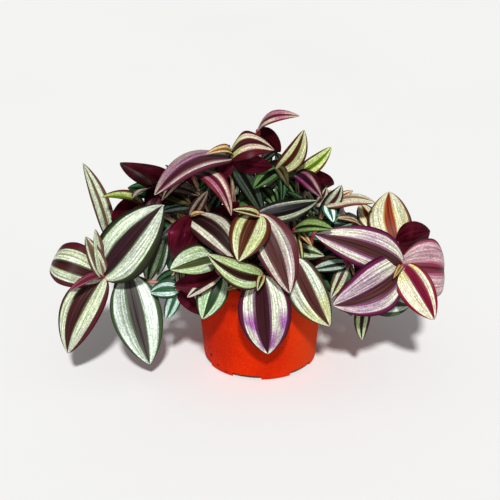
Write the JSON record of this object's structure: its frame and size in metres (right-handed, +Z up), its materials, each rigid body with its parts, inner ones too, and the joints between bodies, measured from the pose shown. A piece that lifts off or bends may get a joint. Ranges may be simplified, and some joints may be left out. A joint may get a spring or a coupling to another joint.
{
  "type": "potted trailing plant",
  "caption": "Trailing tradescantia with striped silver, green, violet and dark red leaves, growing in soil in a round terracotta-coloured nursery pot.",
  "frame": {"origin": "centre of the pot's flat underside", "axes": "+Z up, -Y towards the viewer's side of the plant, +X to the right as the picture shows it"},
  "size_m": [0.335, 0.2465, 0.2253],
  "materials": {
    "pot": "matte",
    "soil": "rough",
    "foliage": "satin"
  },
  "bodies": {
    "root": {"pot": "pot", "soil": "soil", "leafy_stem_left": "foliage", "leafy_stem_leftHigh": "foliage", "leafy_stem_leftTop": "foliage", "leafy_stem_leftInner": "foliage", "leafy_stem_leftLow": "foliage", "leafy_stem_frontLeft": "foliage", "leafy_stem_frontLeftLow": "foliage", "leafy_stem_front": "foliage", "leafy_stem_frontRight": "foliage", "leafy_stem_centre": "foliage", "leafy_stem_crown": "foliage", "leafy_stem_arch": "foliage", "leafy_stem_top": "foliage", "leafy_stem_topRight": "foliage", "leafy_stem_topBack": "foliage", "leafy_stem_rightHigh": "foliage", "leafy_stem_right": "foliage", "leafy_stem_rightBack": "foliage", "leafy_stem_rightLow": "foliage", "leafy_stem_innerRight": "foliage", "leafy_stem_backLeft": "foliage", "leafy_stem_backRight": "foliage", "leafy_stem_backMiddle": "foliage", "leafy_stem_backHighLeft": "foliage", "leafy_stem_backHighRight": "foliage", "leafy_stem_backLow": "foliage", "leafy_stem_backHang": "foliage", "leafy_stem_backTopLeft": "foliage", "leafy_stem_backInner": "foliage", "leafy_stem_backSide": "foliage", "leafy_stem_backCentre": "foliage", "leafy_stem_backTop": "foliage", "leafy_stem_backRightLow": "foliage", "leafy_stem_backFold": "foliage", "leafy_stem_leftShort": "foliage"}
  },
  "joints": []
}
